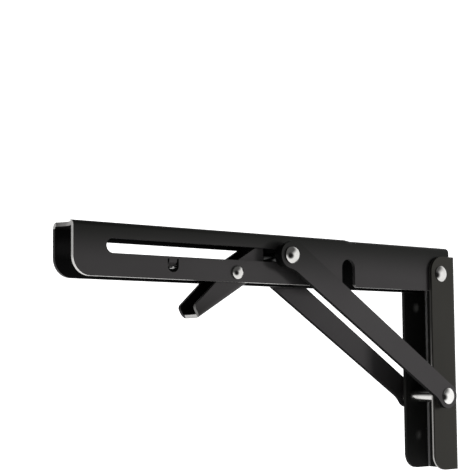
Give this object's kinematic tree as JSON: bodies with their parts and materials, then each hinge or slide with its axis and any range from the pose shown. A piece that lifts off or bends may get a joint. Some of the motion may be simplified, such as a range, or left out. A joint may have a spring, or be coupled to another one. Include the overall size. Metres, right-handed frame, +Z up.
{
  "type": "folding shelf bracket",
  "caption": "Folding wall bracket for a shelf: a channel arm on a wall channel, braced by a pair of strips whose pin runs in slots and is held by a spring lever.",
  "frame": {"origin": "centre of the middle wall screw hole, on the face that lies against the wall", "axes": "+X out of the wall along the open arm, +Z up, +Y across the bracket"},
  "size_m": [0.25, 0.0416, 0.128],
  "materials": {
    "black_coat": "satin black coat with worn bright edges",
    "bright_steel": "bright zinc plated steel",
    "spring_wire": "bright spring wire"
  },
  "bodies": {
    "wall": {"wall_channel": "black_coat", "pivot_rivet": "bright_steel", "pivot_sleeve": "bright_steel", "brace_rivet": "bright_steel", "brace_sleeve": "bright_steel", "brace_washer_left": "bright_steel", "brace_washer_right": "bright_steel"},
    "arm": {"shelf_arm": "black_coat", "lever_rivet": "bright_steel"},
    "brace": {"brace_left": "black_coat", "brace_right": "black_coat", "slide_rivet_left": "bright_steel", "slide_rivet_right": "bright_steel"},
    "slider": {"slide_bush_left": "black_coat", "slide_bush_right": "black_coat"},
    "lever": {"release_lever": "black_coat", "lever_spring": "spring_wire"}
  },
  "joints": [
    {"name": "arm_fold", "type": "hinge", "parent": "wall", "child": "arm", "pos_m": [0.0124, 0, 0.055], "axis": [0, 1, 0], "range_deg": [0, 90]},
    {"name": "brace_fold", "type": "hinge", "parent": "wall", "child": "brace", "pos_m": [0.0138, 0, -0.015], "axis": [0, 1, 0], "range_deg": [0, 122.04]},
    {"name": "slide_travel", "type": "slide", "parent": "arm", "child": "slider", "axis": [1, 0, 0], "range_m": [0, 0.09105]},
    {"name": "lever_release", "type": "hinge", "parent": "arm", "child": "lever", "pos_m": [0.1566, 0, 0.0501], "axis": [0, -1, 0], "range_deg": [0, 35], "stiffness_Nm_per_rad": 0.03, "springref_deg": -20.05, "deforming": ["lever_spring"]}
  ],
  "couplings": [
    {"joint": "brace_fold", "follows": "arm_fold", "ratio": 1.356},
    {"joint": "slide_travel", "follows": "arm_fold", "m_per_rad": 0.057967}
  ]
}
